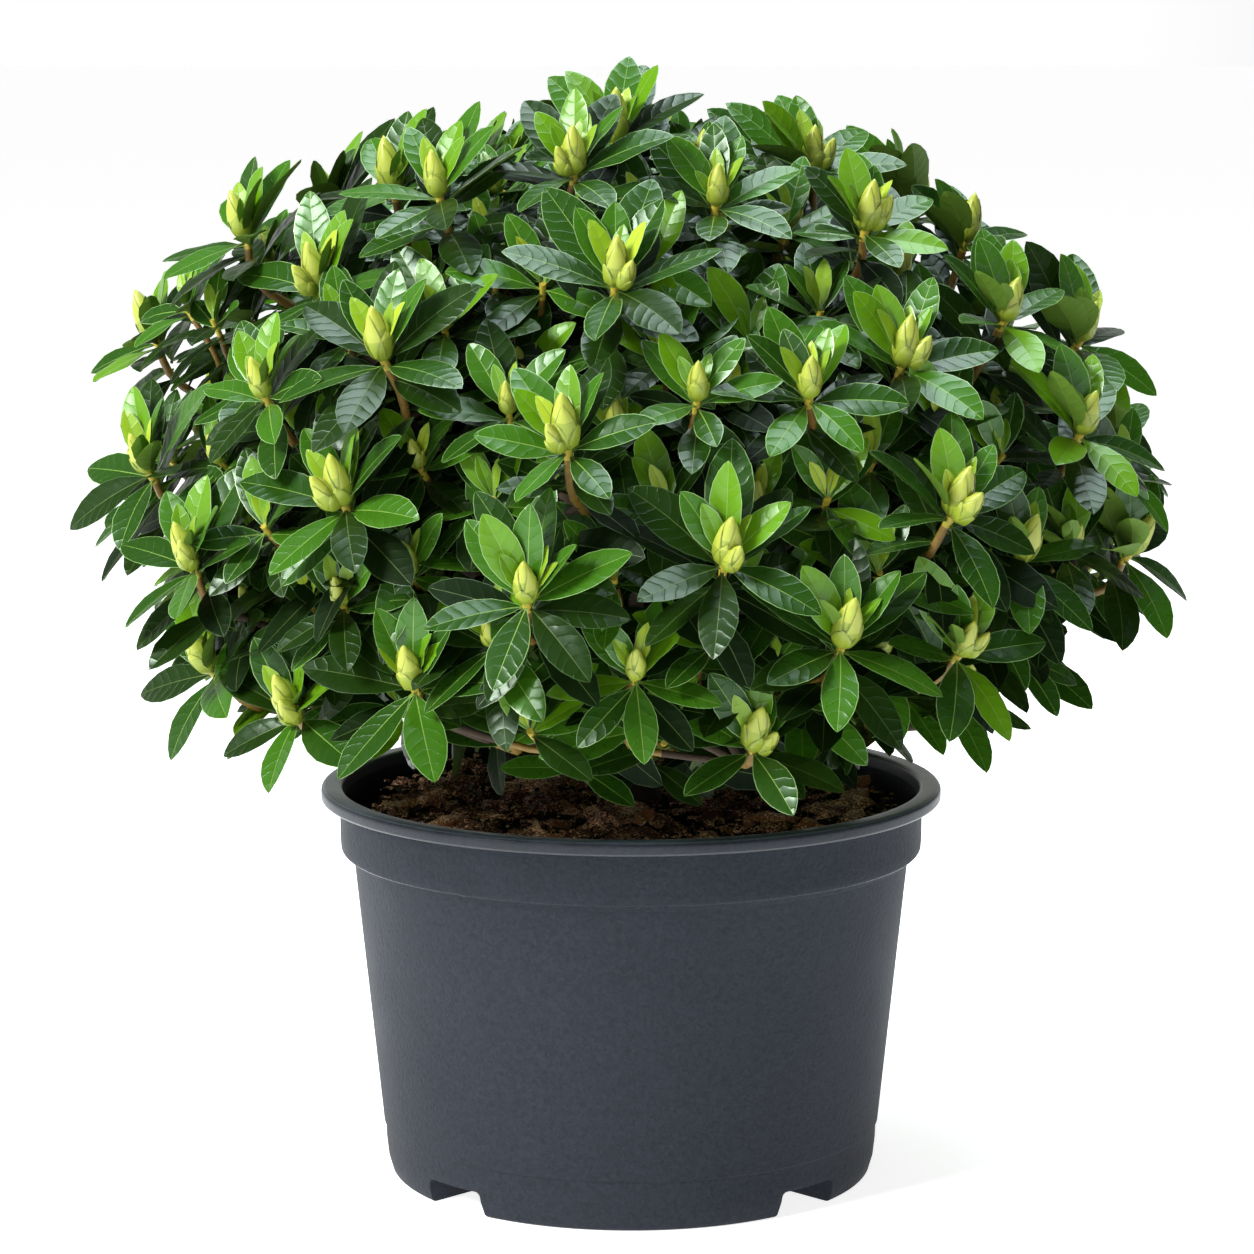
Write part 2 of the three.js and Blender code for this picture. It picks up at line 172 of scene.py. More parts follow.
def turned(name, profile, sides):
    """A solid raised ring by ring from a disc, through the (radius, height) pairs of a profile."""
    bpy.ops.object.select_all(action="DESELECT")
    radius, height = profile[0]
    bpy.ops.mesh.primitive_circle_add(
        vertices=sides, radius=radius * MM, fill_type="NGON", location=(0, 0, height * MM)
    )
    solid = bpy.context.object
    solid.name = solid.data.name = name
    bpy.ops.object.mode_set(mode="EDIT")
    bpy.ops.mesh.select_all(action="SELECT")
    for (r0, z0), (r1, z1) in zip(profile, profile[1:]):
        bpy.ops.mesh.extrude_region_move(
            TRANSFORM_OT_translate={"value": (0, 0, (z1 - z0) * MM)}
        )
        bpy.ops.transform.resize(value=(r1 / r0, r1 / r0, 1), center_override=(0, 0, z1 * MM))
    bpy.ops.mesh.select_all(action="SELECT")
    bpy.ops.mesh.normals_make_consistent(inside=False)
    bpy.ops.object.mode_set(mode="OBJECT")
    bpy.ops.object.transform_apply(location=True, rotation=True, scale=True)
    return solid


def rounded(centre, radius, start, end, steps=4):
    """Profile points round an edge, between two angles from outwards (0) to up (90)."""
    angles = [math.radians(start + (end - start) * i / steps) for i in range(steps + 1)]
    return [(centre[0] + radius * math.cos(a), centre[1] + radius * math.sin(a)) for a in angles]


def apply_modifier(piece, kind, **settings):
    """Add a modifier with its settings and apply it at once."""
    modifier = piece.modifiers.new(kind.lower(), kind)
    for name, value in settings.items():
        setattr(modifier, name, value)
    bpy.context.view_layer.objects.active = piece
    bpy.ops.object.modifier_apply(modifier=modifier.name)


def cut_away(piece, cutter):
    apply_modifier(piece, "BOOLEAN", operation="DIFFERENCE", solver="EXACT", object=cutter)
    bpy.data.objects.remove(cutter)


wall_profile = [
    (FOOT_RADIUS, 0),
    *rounded((FOOT_RADIUS, 3.4), 3.4, -75, -28),
    (BAND_RADIUS - 1.2, 8),
    (BAND_RADIUS - 0.3, 16),
    (BAND_RADIUS, BAND_HEIGHT - 0.5),
    (BAND_RADIUS + 0.1, BAND_HEIGHT - 0.1),
    (BAND_RADIUS + 0.1, BAND_HEIGHT + 0.2),
    *rounded((BAND_RADIUS + 0.35, BAND_HEIGHT + 0.9), 0.55, -60, 0, 3),
    (WALL_TOP_RADIUS - 0.1, COLLAR_FOOT - 1.6),
    (WALL_TOP_RADIUS + 0.5, COLLAR_FOOT - 0.6),
    (COLLAR_RADIUS - 4.2, COLLAR_FOOT - 0.1),
    *rounded((COLLAR_RADIUS - 3, COLLAR_FOOT + 2.4), 2.6, -75, -8),
    (COLLAR_RADIUS - 0.15, COLLAR_FOOT + 6),
    *rounded((COLLAR_RADIUS + 1.6, POT_HEIGHT - LIP_HEIGHT - 1.6), 1.6, 180, 90),
    *rounded((RIM_RADIUS - 1.1, POT_HEIGHT - LIP_HEIGHT + 1.1), 1.1, -90, 0),
    *rounded((RIM_RADIUS - 2.4, POT_HEIGHT - 2.4), 2.4, 0, 90, 6),
    *rounded((COLLAR_RADIUS + 1, POT_HEIGHT - 2.4), 2.4, 90, 180, 6),
    (COLLAR_RADIUS - WALL, POT_HEIGHT - 6),
    (COLLAR_RADIUS - 1.2 - WALL, COLLAR_FOOT),
    (WALL_TOP_RADIUS - WALL, COLLAR_FOOT - 6),
    (BAND_RADIUS - WALL, FLOOR_TOP + 1),
    (BAND_RADIUS - WALL - 1, FLOOR_TOP),
]
pot = turned("nursery_pot", wall_profile, POT_SIDES)

for corner in range(4):
    bearing = math.radians(45 + 90 * corner)
    bpy.ops.object.select_all(action="DESELECT")
    bpy.ops.mesh.primitive_cube_add(size=1)
    notch = bpy.context.object
    for vertex in notch.data.vertices:
        low = vertex.co.z < 0
        width = NOTCH_WIDTH + (2 * NOTCH_DRAFT + 1.5 if low else 0)
        vertex.co.x *= 2 * NOTCH_DEPTH * MM
        vertex.co.y *= width * MM
        vertex.co.z = (-6 if low else NOTCH_HEIGHT) * MM
    apply_modifier(notch, "BEVEL", width=2.2 * MM, segments=4, limit_method="ANGLE")
    notch.data.transform(Matrix.Translation((BAND_RADIUS * MM, 0, 0)))
    notch.data.transform(Matrix.Rotation(bearing, 4, "Z"))
    cut_away(pot, notch)
    bpy.ops.object.select_all(action="DESELECT")
    bpy.ops.mesh.primitive_cylinder_add(
        vertices=24, radius=DRAIN_RADIUS * MM, depth=4 * WALL * MM, location=(0, 0, FLOOR_TOP * MM)
    )
    drain = bpy.context.object
    drain.location.x = math.cos(bearing) * (BAND_RADIUS - NOTCH_DEPTH + 2.5 * DRAIN_RADIUS) * MM
    drain.location.y = math.sin(bearing) * (BAND_RADIUS - NOTCH_DEPTH + 2.5 * DRAIN_RADIUS) * MM
    cut_away(pot, drain)

apply_modifier(
    pot, "BEVEL", width=0.8 * MM, segments=3, limit_method="ANGLE", angle_limit=math.radians(50)
)
bpy.ops.object.select_all(action="DESELECT")
pot.select_set(True)
bpy.context.view_layer.objects.active = pot
bpy.ops.object.shade_smooth_by_angle(angle=math.radians(32))


# Moulded polypropylene, slate grey. The wall has a fine leathery grain pressed in by the mould,
# which leaves it satin, with slow changes of gloss where the plastic flowed. The rolled rim is less
# grained, with its crest painted a paler grey-blue as a painted highlight, and the edges under it
# and under the collar are polished and take a clear highlight.
def polypropylene(name, roughness, specular, grain_depth, tints=("#20242b", "#2a2e37")):
    material, shader = new_material(name)
    place = add_node(material, "ShaderNodeTexCoord").outputs["Object"]
    grain = add_node(
        material,
        "ShaderNodeTexNoise",
        {"Vector": place, "Scale": 1 / (2.2 * MM), "Detail": 2, "Roughness": 0.55, "Distortion": 0.8},
    )
    cells = add_node(
        material,
        "ShaderNodeMapRange",
        {"Value": grain.outputs["Fac"], "From Min": 0.3, "From Max": 0.7},
    )
    flow = add_node(
        material,
        "ShaderNodeTexNoise",
        {"Vector": place, "Scale": 1 / (45 * MM), "Detail": 4, "Distortion": 0.4},
    )
    gloss = add_node(
        material,
        "ShaderNodeMapRange",
        {"Value": flow.outputs["Fac"], "To Min": roughness - 0.1, "To Max": roughness + 0.1},
    )
    tint = add_node(
        material,
        "ShaderNodeMix",
        {"Factor": cells.outputs["Result"], "A": linear(tints[0]), "B": linear(tints[1])},
        data_type="RGBA",
    )
    relief = add_node(
        material,
        "ShaderNodeBump",
        {"Height": cells.outputs["Result"], "Strength": 0.6, "Distance": grain_depth * MM},
    )
    material.node_tree.links.new(tint.outputs["Result"], shader.inputs["Base Color"])
    material.node_tree.links.new(gloss.outputs["Result"], shader.inputs["Roughness"])
    material.node_tree.links.new(relief.outputs["Normal"], shader.inputs["Normal"])
    shader.inputs["IOR"].default_value = 1.49
    shader.inputs["Specular IOR Level"].default_value = specular
    return material


pot.data.materials.clear()
pot.data.materials.append(polypropylene("grained_slate_polypropylene", 0.58, 0.1, 0.3))
pot.data.materials.append(polypropylene("polished_slate_polypropylene", 0.26, 0.6, 0.02))
pot.data.materials.append(polypropylene("satin_slate_polypropylene", 0.4, 0.26, 0.1))
# The crest's paler tints are a painted highlight along the rim.
pot.data.materials.append(
    polypropylene("painted_highlight_crest_polypropylene", 0.36, 0.5, 0.05, ("#424a58", "#525b6a"))
)
FINISH_BANDS = [
    # lowest and highest height, and finish: edges under the collar and the lip, rim, its crest
    (COLLAR_FOOT - 0.2, COLLAR_FOOT + 0.6, 1),
    (POT_HEIGHT - LIP_HEIGHT - 0.1, POT_HEIGHT - LIP_HEIGHT + 0.9, 1),
    (POT_HEIGHT - LIP_HEIGHT + 0.9, POT_HEIGHT - 0.8, 2),
    # The crest band takes the paler tints, a painted highlight.
    (POT_HEIGHT - 0.8, POT_HEIGHT + 1, 3),
]
for face in pot.data.polygons:
    for low, high, finish in FINISH_BANDS:
        if low < face.center.z / MM < high:
            face.material_index = finish
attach(pot, "root")
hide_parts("pot")


# ---- The compost -----------------------------------------------------------------------------
# Coarse potting compost of composted bark and peat, damp and dark brown, with paler fibrous bark
# chips on top. It is loose: a heaped bed, with separate lumps and crumbs lying on it.

COMPOST_LEVEL = 178
COMPOST_EDGE = 176
CHUNKS = 190
LUMPS = 480
CRUMBS = 2000
SHADED_FLANK = 0.12  # a lump's flank is damp peat painted near black as shade up to this height over its middle, as a share of its size


def pot_inside(height):
    """Radius of the pot's inside at a height between its floor and its collar."""
    share = (height - BAND_HEIGHT) / (COLLAR_FOOT - BAND_HEIGHT)
    return BAND_RADIUS + (WALL_TOP_RADIUS - BAND_RADIUS) * share - WALL


def seeded(seed):
    """A repeatable run of random numbers between 0 and 1, the same as the solids grow by."""
    state = seed
    while True:
        state = state * 48271 % 2147483647
        yield state / 2147483647


SHARP_EDGE = 65


class Growth:
    """Gathers many small shapes, and joins them into one mesh."""

    def __init__(self):
        self.points, self.faces, self.finishes, self.surface = [], [], [], []
        self.count = 0

    def add(self, points, faces, finishes, surface=None):
        """Add a shape: its points in mm, its faces, a finish for each face, and its flat map."""
        self.points.append(points)
        self.faces += [[corner + self.count for corner in face] for face in faces]
        self.finishes += finishes
        self.surface.append(np.zeros((len(points), 2)) if surface is None else surface)
        self.count += len(points)

    def join(self, name, materials, sharp=SHARP_EDGE):
        mesh = bpy.data.meshes.new(name)
        mesh.from_pydata((np.concatenate(self.points) * MM).tolist(), [], self.faces)
        mesh.polygons.foreach_set("material_index", self.finishes)
        mesh.polygons.foreach_set("use_smooth", [True] * len(self.faces))
        mesh.set_sharp_from_angle(angle=math.radians(sharp))
        corners = np.empty(len(mesh.loops), dtype=np.int32)
        mesh.loops.foreach_get("vertex_index", corners)
        flat_map = mesh.uv_layers.new(name="surface")
        flat_map.data.foreach_set("uv", (np.concatenate(self.surface) * MM)[corners].ravel())
        for material in materials:
            mesh.materials.append(material)
        piece = bpy.data.objects.new(name, mesh)
        bpy.context.collection.objects.link(piece)
        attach(piece, "root")
        return piece


def lump_shape(detail):
    """The points and faces of a ball that each lump is made from."""
    bpy.ops.object.select_all(action="DESELECT")
    bpy.ops.mesh.primitive_ico_sphere_add(subdivisions=detail, radius=1)
    ball = bpy.context.object
    points = np.array([vertex.co[:] for vertex in ball.data.vertices])
    faces = [list(face.vertices) for face in ball.data.polygons]
    bpy.data.objects.remove(ball)
    return points, faces


def bed_height(x, y):
    """Height of the heaped compost, which is level round the stem."""
    heaps = noise.noise(Vector((x, y, 40)) / 24) + 0.5 * noise.noise(Vector((x, y, 9)) / 11)
    return COMPOST_LEVEL + 6 * heaps * min(1, math.hypot(x, y) / 50)


def strew(growth, shape, count, sizes, sink, chance):
    """Strew lumps of two sizes, smallest and largest, evenly over the bed of compost."""
    points, faces = shape
    for _ in range(count):
        radius = (pot_inside(COLLAR_FOOT) - sizes[1] - 1) * math.sqrt(next(chance))
        bearing = 2 * math.pi * next(chance)
        size = sizes[0] + (sizes[1] - sizes[0]) * next(chance) ** 2
        squash = np.array([1, 0.62 + 0.3 * next(chance), 0.5 + 0.3 * next(chance)])
        turn = Matrix.Rotation(2 * math.pi * next(chance), 3, "Z") @ Matrix.Rotation(
            0.9 * (next(chance) - 0.5), 3, "X"
        )
        offset = Vector((next(chance), next(chance), next(chance))) * 90
        rough = [1 + 0.9 * noise.noise(Vector(p) * 1.5 + offset) for p in points]
        shaped = points * np.array(rough)[:, None] * squash * size
        shaped = shaped @ np.array(turn).T
        x, y = radius * math.cos(bearing), radius * math.sin(bearing)
        shaped += (x, y, bed_height(x, y) - sink * size)
        pale = 0 if next(chance) < 0.72 else 1
        # Faces low on a lump's flank take the near-black peat, as painted shade between the lumps.
        flank = bed_height(x, y) - sink * size + SHADED_FLANK * size
        growth.add(
            shaped, faces, [2 if shaped[face, 2].mean() < flank else pale for face in faces]
        )


# Composted bark, damp: rough and dull, made of granules and fibres a millimetre or two across,
# with pale broken edges that stand out on the darker lumps. Made near black, it is damp peat
# with painted shade, on the lumps' low flanks and on the bed between them.
def bark_chip_material(name, dark, light, grain_mm):
    material, shader = new_material(name)
    place = add_node(material, "ShaderNodeTexCoord").outputs["Object"]
    stretched = add_node(
        material, "ShaderNodeMapping", {"Vector": place, "Scale": (1, 1.8, 1.8), "Rotation": (0.4, 0.3, 0.6)}
    )
    fibre = add_node(
        material,
        "ShaderNodeTexNoise",
        {"Vector": stretched.outputs["Vector"], "Scale": 1 / (grain_mm * MM), "Detail": 4, "Roughness": 0.6},
    )
    patch = add_node(
        material, "ShaderNodeTexNoise", {"Vector": place, "Scale": 1 / (16 * MM), "Detail": 2}
    )
    blend = add_node(
        material,
        "ShaderNodeMath",
        {0: patch.outputs["Fac"], 1: 0.45, 2: fibre.outputs["Fac"]},
        operation="MULTIPLY_ADD",
    )
    contrast = add_node(
        material,
        "ShaderNodeMapRange",
        {"Value": blend.outputs["Value"], "From Min": 0.73, "From Max": 0.84},
    )
    colour = add_node(
        material,
        "ShaderNodeMix",
        {"Factor": contrast.outputs["Result"], "A": linear(dark), "B": linear(light)},
        data_type="RGBA",
    )
    relief = add_node(
        material,
        "ShaderNodeBump",
        {"Height": fibre.outputs["Fac"], "Strength": 1, "Distance": 1.6 * MM},
    )
    material.node_tree.links.new(colour.outputs["Result"], shader.inputs["Base Color"])
    material.node_tree.links.new(relief.outputs["Normal"], shader.inputs["Normal"])
    shader.inputs["Roughness"].default_value = 0.7
    shader.inputs["Specular IOR Level"].default_value = 0.4
    return material


damp_bark = bark_chip_material("damp_composted_bark", "#4a2414", "#ffc79c", 1.4)
pale_chip = bark_chip_material("fibrous_bark_chip", "#8f5730", "#ffdcb4", 1.5)
peat_and_painted_shade = bark_chip_material("damp_peat_and_painted_shade_between_lumps", "#0b0502", "#2c180c", 1.5)

compost_bed = turned(
    "compost_bed",
    [
        (pot_inside(FLOOR_TOP) - 0.5, FLOOR_TOP + 0.3),
        (pot_inside(COLLAR_FOOT - 6) - 0.5, COLLAR_FOOT - 6),
        (pot_inside(COMPOST_EDGE) - 1.3, COMPOST_EDGE - 2),
        *[(radius, COMPOST_LEVEL - 2) for radius in range(124, 4, -6)],
    ],
    96,
)
for vertex in compost_bed.data.vertices:
    if vertex.co.z > (COMPOST_EDGE - 3) * MM:
        x, y = vertex.co.x / MM, vertex.co.y / MM
        vertex.co.z = (bed_height(x, y) - 5 + 2 * noise.noise(Vector((x, y, 0)) / 6)) * MM
compost_bed.data.polygons.foreach_set("use_smooth", [True] * len(compost_bed.data.polygons))
compost_bed.data.materials.clear()
# The bed under the lumps is near black: damp peat, and painted shade between them.
compost_bed.data.materials.append(peat_and_painted_shade)
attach(compost_bed, "root")
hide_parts("compost")

chance = seeded(311)
loose = Growth()
strew(loose, lump_shape(2), CHUNKS, (6.5, 12.5), -0.15, chance)
strew(loose, lump_shape(2), LUMPS, (2.6, 5), 0, chance)
strew(loose, lump_shape(1), CRUMBS, (0.9, 2.2), -2.2, chance)
lumps = loose.join("compost_lumps", [damp_bark, pale_chip, peat_and_painted_shade], 30)


# ---- The crown's plan ------------------------------------------------------------------------
# How the bush grows: boughs in three tiers run out from a low hub to masses of foliage, and the
# shoots stand over the crown by a seeded rule. The solids grow by the same rule and numbers.

UP = Vector((0, 0, 1))
HUB = Vector((0, 0, 245))
CROWN_REACH = 293
SKIRT_REACH = 150
SKIRT_TOP = 25
SKIRT_FOOT = -24
SKIRT_CURVE = 1.7
SKIRT_LEAN = 16
GATE = 90
TIERS = [
    # name, boughs, elevation, first bearing, heights where they leave the stem
    ("skirt", 8, -2, 10, (203, 216)),
    ("shoulder", 6, 32, 32, (222, 231)),
    ("top", 3, 66, 62, (242,)),
]
SEED = 2047
SHOOT_PITCH = 58
SHOOT_DARTS = 2600
SHOOT_REACH = 56
TOP_SHOOT_REACH = 34
SHOOT_BULGE = 0.04
LOWEST_SHOOT = -17
SHOOT_RISE = 0.95
TIP_RISE = 0.5
BORDER = 7
FOLIAGE_FLOOR = 192
CLEARANCE = 0.3
CORE_DISTANCE = 150

# The side shoots fill in between those shoots, a little deeper in the crown.
SIDE_PITCH = 33
SIDE_DARTS = 7000
SIDE_DEPTH = (4, 28)

# Whorls under a height that rises outwards are shaded out, and their wood is bare.
LOWEST_WHORL = 213

# An unclipped bush isn't a ball: its shoots stand out or hang back by these lobes.
LOBES = [
    # bearing, elevation, how far the shoots stand out there
    (180, 44, 50),
    (180, 32, -14),
    (180, 23, 26),
    (180, 12, -34),
    (180, -12, -8),
    (180, 62, -28),
    (0, 62, -12),
    (0, 40, 8),
    (0, 16, 42),
    (0, -1, -54),
    (0, -18, -20),
    (28, -10, -26),
    (-28, -10, -26),
    (0, 90, -8),
]
LOBE_WIDTH = 17
UNEVEN = 12
MAIN_GROWTH = 8  # the main shoots outgrow the even dome by this, and the side shoots stay behind
SIDE_GROWTH = -3

# It grew with the light in front of it, so its shoots lean that way and its leaves face it.
FRONT = Vector((0, -1, 0))
LEAN = 0.32
LIGHT = Vector((-0.3, -0.5, 0.8))


def outward(bearing, elevation):
    b, e = math.radians(bearing), math.radians(elevation)
    return Vector((math.cos(b) * math.cos(e), math.sin(b) * math.cos(e), math.sin(e)))


def crown_reach(direction):
    """Distance from the hub to the crown's leaf tips, in a direction from the hub."""
    elevation = math.degrees(math.asin(max(-1, min(1, direction.z))))
    drop = (SKIRT_TOP - elevation) / (SKIRT_TOP - SKIRT_FOOT)
    low = max(0, min(1, drop)) ** SKIRT_CURVE
    return CROWN_REACH + (SKIRT_REACH - CROWN_REACH) * low - SKIRT_LEAN * low * direction.x


def swell(direction):
    """How far the shoots in a direction stand out past the even dome."""
    out = UNEVEN * noise.noise(direction * 2.6)
    for bearing, elevation, reach in LOBES:
        away = math.degrees(direction.angle(outward(bearing, elevation)))
        out += reach * math.exp(-((away / LOBE_WIDTH) ** 2))
    return out


class Mass:
    def __init__(self, name, direction, start):
        self.name, self.direction, self.start = name, direction, start
        self.heart = HUB + direction * CORE_DISTANCE * crown_reach(direction) / CROWN_REACH
        self.tip = HUB + direction * GATE
        self.shoots = []


class Shoot:
    def __init__(self, base, direction, chance, size, side):
        growth = swell(direction) + (SIDE_GROWTH if side else MAIN_GROWTH)
        self.base, self.direction, self.chance = base + direction * growth, direction, chance
        self.size, self.side, self.spot, self.leaves = size, side, base, []
        jitter = Vector([0.36 * (next(chance) - 0.5) for _ in range(3)])
        self.axis = (direction + UP * SHOOT_RISE + FRONT * LEAN + jitter).normalized()
        self.across = self.axis.cross(direction.cross(UP)).normalized()
        self.tip_axis = (self.axis + UP * TIP_RISE).normalized()


masses = [
    Mass(f"{name}_{i + 1}", outward(turn + i * 360 / count, elevation), starts[i % len(starts)])
    for name, count, elevation, turn, starts in TIERS
    for i in range(count)
]


def room_inside(mass, point):
    """Distance from a point to the nearest face of the space that a mass keeps to."""
    walls = [
        (mass.direction - other.direction).normalized().dot(point - HUB) - CLEARANCE
        for other in masses
        if other is not mass
    ]
    inner = mass.direction.dot(point - HUB) - GATE - 2
    return min(*walls, inner, point.z - FOLIAGE_FLOOR)


def lit(base):
    """Whether a whorl at a place gets light enough to keep its leaves."""
    return base.z >= LOWEST_WHORL + 0.3 * max(0, math.hypot(base.x, base.y) - 100)


def throw_dart(chance, inwards_extra):
    """A place for a shoot somewhere over the crown: its direction, its whorl and its mass."""
    lowest = math.sin(math.radians(LOWEST_SHOOT))
    elevation = math.degrees(math.asin(lowest + (1 - lowest) * next(chance)))
    direction = outward(360 * next(chance), elevation)
    bulge = 1 + SHOOT_BULGE * (2 * next(chance) - 1)
    inwards = SHOOT_REACH + (TOP_SHOOT_REACH - SHOOT_REACH) * direction.z**2
    base = HUB + direction * ((crown_reach(direction) - inwards) * bulge - inwards_extra)
    mass = max(masses, key=lambda each: each.direction.dot(direction))
    return direction, base, mass


shoots = []
chance = seeded(SEED)
for _ in range(SHOOT_DARTS):
    direction, base, mass = throw_dart(chance, 0)
    free = all((shoot.spot - base).length >= SHOOT_PITCH for shoot in shoots)
    if free and room_inside(mass, base) >= BORDER:
        shoot = Shoot(base, direction, seeded(SEED + 7919 * (len(shoots) + 1)), 1, False)
        shoots.append(shoot)
        if lit(base):
            mass.shoots.append(shoot)

chance = seeded(SEED + 1)
for _ in range(SIDE_DARTS):
    depth = SIDE_DEPTH[0] + (SIDE_DEPTH[1] - SIDE_DEPTH[0]) * next(chance)
    direction, base, mass = throw_dart(chance, depth)
    if lit(base) and all((shoot.spot - base).length >= SIDE_PITCH for shoot in shoots):
        own = seeded(SEED + 104729 * (len(shoots) + 1))
        shoot = Shoot(base, direction, own, 0.76 + 0.2 * next(chance), True)
        shoots.append(shoot)
        mass.shoots.append(shoot)


# ---- Stem and boughs -------------------------------------------------------------------------
# One short trunk that flares where it meets the compost, and the boughs that fork from it. Old
# wood: grey-brown bark that is finely cracked along the limb and lifts in small flakes.

STEM_FOOT = COMPOST_LEVEL + 0.3
STEM_TOP = 258
STEM_LEAN = 4
FLARE_RADIUS = 17
STEM_RADIUS = 12
STEM_TOP_RADIUS = 7.5
BOUGH_RADIUS = 4.6
BOUGH_TIP_RADIUS = 3.4


def bezier(start, middle, end, share):
    return start * (1 - share) ** 2 + middle * 2 * share * (1 - share) + end * share**2


def through(points, share):
    """A point of the smooth curve through evenly timed points."""
    spot = share * (len(points) - 1)
    i = min(int(spot), len(points) - 2)
    t = spot - i
    before = points[i - 1] if i else points[0] * 2 - points[1]
    after = points[i + 2] if i + 2 < len(points) else points[-1] * 2 - points[-2]
    a, b = points[i], points[i + 1]
    return 0.5 * (
        a * 2
        + (b - before) * t
        + (before * 2 - a * 5 + b * 4 - after) * t**2
        + (a * 3 - before - b * 3 + after) * t**3
    )


def add_limb(growth, centres, radii, sides, finishes, relief=0):
    """Add a round limb through centres, closed at both ends, with a finish for each stretch."""
    across = (centres[1] - centres[0]).cross(Vector((0.3, 0.5, 0.1))).normalized()
    angles = 2 * math.pi * np.arange(sides) / sides
    rings, run, runs = [], 0, []
    for i, centre in enumerate(centres):
        tangent = (centres[min(i + 1, len(centres) - 1)] - centres[max(i - 1, 0)]).normalized()
        across = (across - tangent * across.dot(tangent)).normalized()
        other = tangent.cross(across)
        ring = np.outer(np.cos(angles), across) + np.outer(np.sin(angles), other)
        bark = np.ones(sides)
        if relief:
            for j, spoke in enumerate(ring):
                spot = Vector(spoke * radii[i]) + centre
                ridge = noise.noise(Vector((angles[j] * 2.2, run / 16, radii[0])))
                bark[j] += relief * (ridge + 0.6 * noise.noise(spot / 3.1))
        rings.append(ring * (radii[i] * bark)[:, None] + np.array(centre))
        run += (centre - centres[i - 1]).length if i else 0
        runs.append(run)
    faces, looks = [], []
    for i in range(len(centres) - 1):
        for j in range(sides):
            a, b = i * sides + j, i * sides + (j + 1) % sides
            faces.append([a, b, b + sides, a + sides])
            looks.append(finishes[i])
    end = (len(centres) - 1) * sides
    faces += [list(range(sides))[::-1], list(range(end, end + sides))]
    looks += [finishes[0], finishes[-1]]
    surface = np.array([[a * radii[0], r] for r in runs for a in angles])
    growth.add(np.concatenate(rings), faces, looks, surface)


# Bark on old azalea wood: dull grey-brown, with darker cracks a couple of millimetres apart.
old_bark, shader = new_material("old_grey_brown_bark")
place = add_node(old_bark, "ShaderNodeTexCoord").outputs["Object"]
drawn_out = add_node(old_bark, "ShaderNodeMapping", {"Vector": place, "Scale": (1, 1, 0.35)})
cracks = add_node(
    old_bark,
    "ShaderNodeTexNoise",
    {"Vector": drawn_out.outputs["Vector"], "Scale": 1 / (2.2 * MM), "Detail": 5, "Roughness": 0.65},
)
colour = add_node(
    old_bark,
    "ShaderNodeMix",
    {"Factor": cracks.outputs["Fac"], "A": linear("#150e07"), "B": linear("#3c2b18")},
    data_type="RGBA",
)
relief = add_node(
    old_bark,
    "ShaderNodeBump",
    {"Height": cracks.outputs["Fac"], "Strength": 0.8, "Distance": 0.8 * MM},
)
old_bark.node_tree.links.new(colour.outputs["Result"], shader.inputs["Base Color"])
old_bark.node_tree.links.new(relief.outputs["Normal"], shader.inputs["Normal"])
shader.inputs["Roughness"].default_value = 0.86

wood = Growth()
stem_curve = [
    Vector((0, 0, STEM_FOOT)),
    Vector((0, 0, STEM_FOOT + (STEM_TOP - STEM_FOOT) * 0.4)),
    Vector((STEM_LEAN, -STEM_LEAN / 2, STEM_TOP)),
]
shares = [i / 30 for i in range(31)]
flares = [
    STEM_RADIUS
    + (STEM_TOP_RADIUS - STEM_RADIUS) * share
    + (FLARE_RADIUS - STEM_RADIUS) * math.exp(-share * 9)
    for share in shares
]
add_limb(wood, [bezier(*stem_curve, share) for share in shares], flares, 28, [0] * 30, 0.12)
for mass in masses:
    root = bezier(*stem_curve, (mass.start - STEM_FOOT) / (STEM_TOP - STEM_FOOT))
    elbow = mass.tip - mass.direction * GATE / 2
    shares = [i / 18 for i in range(19)]
    radii = [BOUGH_RADIUS + (BOUGH_TIP_RADIUS - BOUGH_RADIUS) * share for share in shares]
    centres = [bezier(root, elbow, mass.tip, share) for share in shares]
    add_limb(wood, centres, radii, 12, [0] * 18, 0.14)
    steps = [mass.tip + (mass.heart - mass.tip) * i / 5 for i in range(6)]
    add_limb(wood, steps, [3.4 - 0.12 * i for i in range(6)], 10, [0] * 5, 0.14)
limbs = wood.join("stem_and_boughs", [old_bark])
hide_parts("stem", *[f"bough_{mass.name}" for mass in masses])


# ---- Leaves ----------------------------------------------------------------------------------
# Evergreen leaves, leathery and glossy: a short stalk, a blade that is widest past its middle and
# folded a little along a pale midrib, a thin lighter margin, and a duller underside. They stand in
# whorls that the light and their weight open on the outer side, and are lime green when young.

LEAF_LENGTH = 51
LEAF_RATIO = 0.39  # width over length
RIB_WIDTH = 0.5
MARGIN_WIDTH = 0.3
STALK_WIDTH = 1.7
VEIN_SPACING = 5.8


